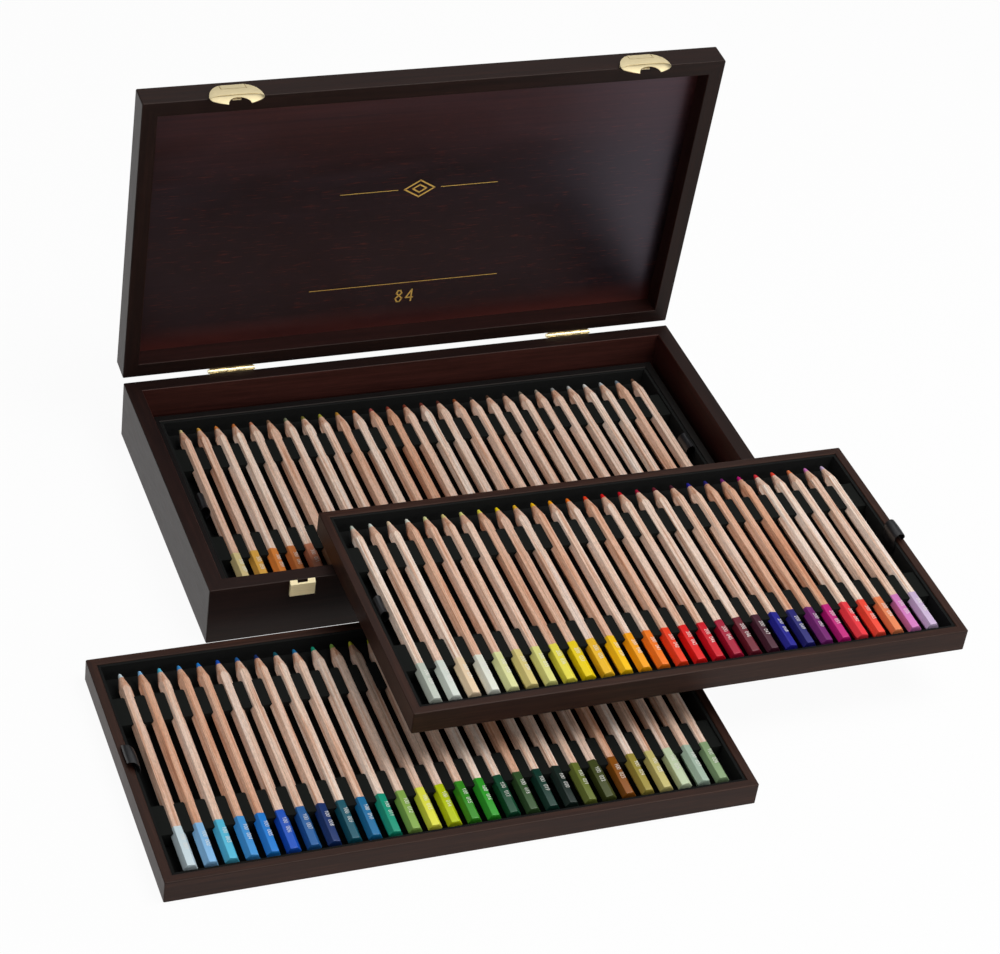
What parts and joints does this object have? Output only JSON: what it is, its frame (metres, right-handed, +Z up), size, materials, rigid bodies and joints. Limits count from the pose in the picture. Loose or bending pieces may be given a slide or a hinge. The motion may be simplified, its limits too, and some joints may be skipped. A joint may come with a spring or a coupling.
{
  "type": "hinged wooden presentation case for coloured pencils",
  "caption": "Dark wooden case with a hinged lid, swing catches and lift-out trays of sharpened pencils held in notched black bars; the loose trays stand out in front.",
  "frame": {"origin": "centre of the base's underside, on the table", "axes": "+X along the case to the right, +Y back to the hinges, +Z up"},
  "size_m": [0.5542, 0.4697, 0.2815],
  "materials": {
    "case_wood": "dark mahogany stain, satin",
    "tray_wood": "dark mahogany stain, satin",
    "felt": "short black felt",
    "brass": "pale brass plate, satin",
    "black_lining": "flocked black lining",
    "black_bars": "matte black foam",
    "satin_ribbon": "black satin",
    "cedar": "bare cedar, sealed",
    "pastel_core": "chalky pigment; each pencil has its own colour",
    "dipped_lacquer": "gloss lacquer; each pencil has its own colour"
  },
  "bodies": {
    "base": {"base_back_wall": "case_wood", "base_felt": "felt", "base_floor": "case_wood", "base_front_wall": "case_wood", "base_left_wall": "case_wood", "base_right_wall": "case_wood", "hinge_left_base_leaf": "brass", "hinge_pins": "brass", "hinge_right_base_leaf": "brass", "hinge_screws_base": "brass", "keeper_left": "brass", "keeper_right": "brass"},
    "lid": {"catch_left_plate": "brass", "catch_pins": "brass", "catch_right_plate": "brass", "hinge_left_lid_leaf": "brass", "hinge_right_lid_leaf": "brass", "hinge_screws_lid": "brass", "lid_back_wall": "case_wood", "lid_front_wall": "case_wood", "lid_left_wall": "case_wood", "lid_panel": "case_wood", "lid_right_wall": "case_wood"},
    "catch_left": {"catch_left_flap": "brass"},
    "catch_right": {"catch_right_flap": "brass"},
    "tray_a": {"tray_a_back_rail": "tray_wood", "tray_a_front_rail": "tray_wood", "tray_a_holding_bars": "black_bars", "tray_a_left_rail": "tray_wood", "tray_a_liner": "black_lining", "tray_a_panel": "tray_wood", "tray_a_pencil_barrels": "cedar", "tray_a_pencil_caps": "dipped_lacquer", "tray_a_pencil_cores": "pastel_core", "tray_a_ribbons": "satin_ribbon", "tray_a_right_rail": "tray_wood"},
    "tray_b": {"tray_b_back_rail": "tray_wood", "tray_b_front_rail": "tray_wood", "tray_b_holding_bars": "black_bars", "tray_b_left_rail": "tray_wood", "tray_b_liner": "black_lining", "tray_b_panel": "tray_wood", "tray_b_pencil_barrels": "cedar", "tray_b_pencil_caps": "dipped_lacquer", "tray_b_pencil_cores": "pastel_core", "tray_b_ribbons": "satin_ribbon", "tray_b_right_rail": "tray_wood"},
    "tray_c": {"tray_c_back_rail": "tray_wood", "tray_c_front_rail": "tray_wood", "tray_c_holding_bars": "black_bars", "tray_c_left_rail": "tray_wood", "tray_c_liner": "black_lining", "tray_c_panel": "tray_wood", "tray_c_pencil_barrels": "cedar", "tray_c_pencil_caps": "dipped_lacquer", "tray_c_pencil_cores": "pastel_core", "tray_c_ribbons": "satin_ribbon", "tray_c_right_rail": "tray_wood"}
  },
  "joints": [
    {"name": "lid_hinge", "type": "hinge", "parent": "base", "child": "lid", "pos_m": [0, 0.1176, 0.0448], "axis": [1, 0, 0], "range_deg": [0, 86]},
    {"name": "catch_left_swing", "type": "hinge", "parent": "lid", "child": "catch_left", "pos_m": [-0.1455, 0.0976, 0.28058], "axis": [-1, 0, 0], "range_deg": [0, 80]},
    {"name": "catch_right_swing", "type": "hinge", "parent": "lid", "child": "catch_right", "pos_m": [0.1455, 0.0976, 0.28058], "axis": [-1, 0, 0], "range_deg": [0, 80]},
    {"name": "tray_b_slide", "type": "slide", "parent": "base", "child": "tray_b", "axis": [0, -1, 0], "range_m": [0, 0.08]},
    {"name": "tray_a_slide", "type": "slide", "parent": "base", "child": "tray_a", "axis": [0, -1, 0], "range_m": [0, 0.12]},
    {"name": "tray_c_lift", "type": "slide", "parent": "base", "child": "tray_c", "axis": [0, 0, 1], "range_m": [0, 0.018]}
  ],
  "couplings": [
    {"joint": "tray_b_slide", "follows": "lid_hinge", "m_per_rad": 0.0532}
  ]
}
